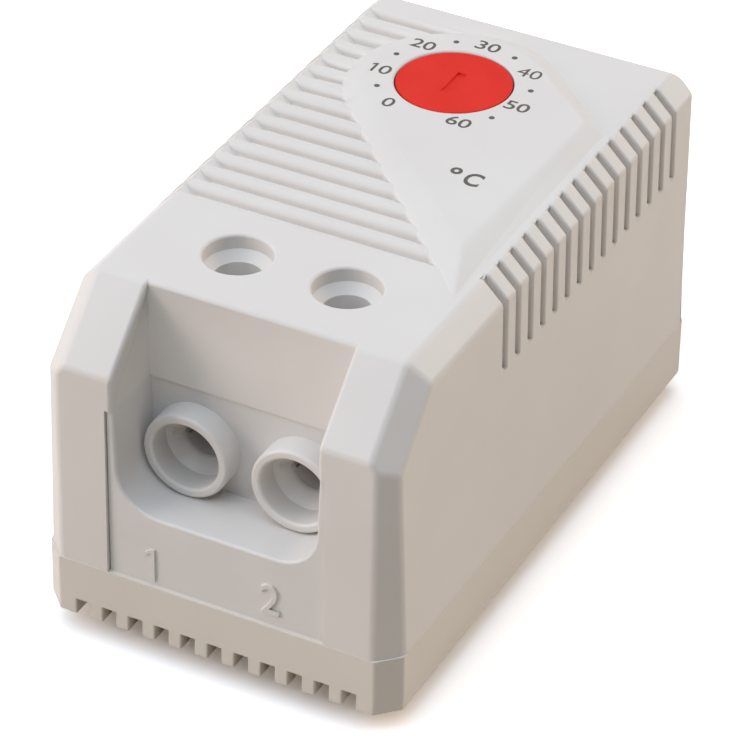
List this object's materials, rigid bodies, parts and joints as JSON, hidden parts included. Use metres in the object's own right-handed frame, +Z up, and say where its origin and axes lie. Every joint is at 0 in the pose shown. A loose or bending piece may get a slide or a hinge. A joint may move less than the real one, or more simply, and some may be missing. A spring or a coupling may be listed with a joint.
{
  "type": "bimetal temperature switch",
  "caption": "Light grey rail-mounted bimetal temperature switch with a red setting dial, vent slots, a sloped brow and a recessed screw terminal end.",
  "frame": {"origin": "middle of the footprint, at the underside of the rail hooks", "axes": "+X across the width, +Y along the length away from the terminal end, +Z up through the dial"},
  "size_m": [0.0346, 0.06, 0.0355],
  "materials": {
    "cover_grey": "fine satin moulding",
    "base_grey": "fine satin moulding",
    "insert_grey": "smooth satin moulding",
    "dial_red": "satin moulding",
    "natural_plastic": "plain moulding",
    "brass": "stamped",
    "bimetal": "rolled",
    "steel": "zinc plated",
    "silver": "contact metal",
    "magnet": "sintered"
  },
  "bodies": {
    "frame": {"housing": "cover_grey", "base": "base_grey", "terminal_block": "insert_grey", "guide_bridge": "insert_grey", "snap_magnet": "magnet", "fixed_contact": "silver", "contact_bar": "brass", "bimetal_bar": "brass"},
    "dial": {"dial": "dial_red", "dial_spindle": "brass"},
    "plunger": {"set_plunger": "natural_plastic"},
    "strip": {"bimetal_strip": "bimetal", "root_rivets": "steel", "moving_contact": "silver", "armature": "steel"},
    "cage_1": {"clamp_cage_1": "steel"},
    "cage_2": {"clamp_cage_2": "steel"},
    "screw_1": {"clamp_screw_1": "steel"},
    "screw_2": {"clamp_screw_2": "steel"}
  },
  "joints": [
    {"name": "dial_turn", "type": "hinge", "parent": "frame", "child": "dial", "pos_m": [-0.00135, 0.0168, 0.034], "axis": [0, 0, 1], "range_deg": [-150, 150]},
    {"name": "plunger_lift", "type": "slide", "parent": "frame", "child": "plunger", "axis": [0, 0, 1], "range_m": [-0.00084, 0.00084]},
    {"name": "strip_bend", "type": "hinge", "parent": "frame", "child": "strip", "pos_m": [-0.00135, 0.0271, 0.019], "axis": [1, 0, 0], "range_deg": [0, 2.2], "stiffness_Nm_per_rad": 0.4, "springref_deg": -1.15},
    {"name": "screw_1_turn", "type": "hinge", "parent": "frame", "child": "screw_1", "pos_m": [-0.00522, -0.0161, 0.027], "axis": [0, 0, 1], "range_deg": [-1440, 0]},
    {"name": "cage_1_lift", "type": "slide", "parent": "frame", "child": "cage_1", "axis": [0, 0, 1], "range_m": [0, 0.002]},
    {"name": "screw_2_turn", "type": "hinge", "parent": "frame", "child": "screw_2", "pos_m": [0.00522, -0.0161, 0.027], "axis": [0, 0, 1], "range_deg": [-1440, 0]},
    {"name": "cage_2_lift", "type": "slide", "parent": "frame", "child": "cage_2", "axis": [0, 0, 1], "range_m": [0, 0.002]}
  ],
  "couplings": [
    {"joint": "dial_turn", "follows": "plunger_lift", "rad_per_m": -3116},
    {"joint": "screw_1_turn", "follows": "cage_1_lift", "rad_per_m": -12566},
    {"joint": "screw_2_turn", "follows": "cage_2_lift", "rad_per_m": -12566}
  ]
}
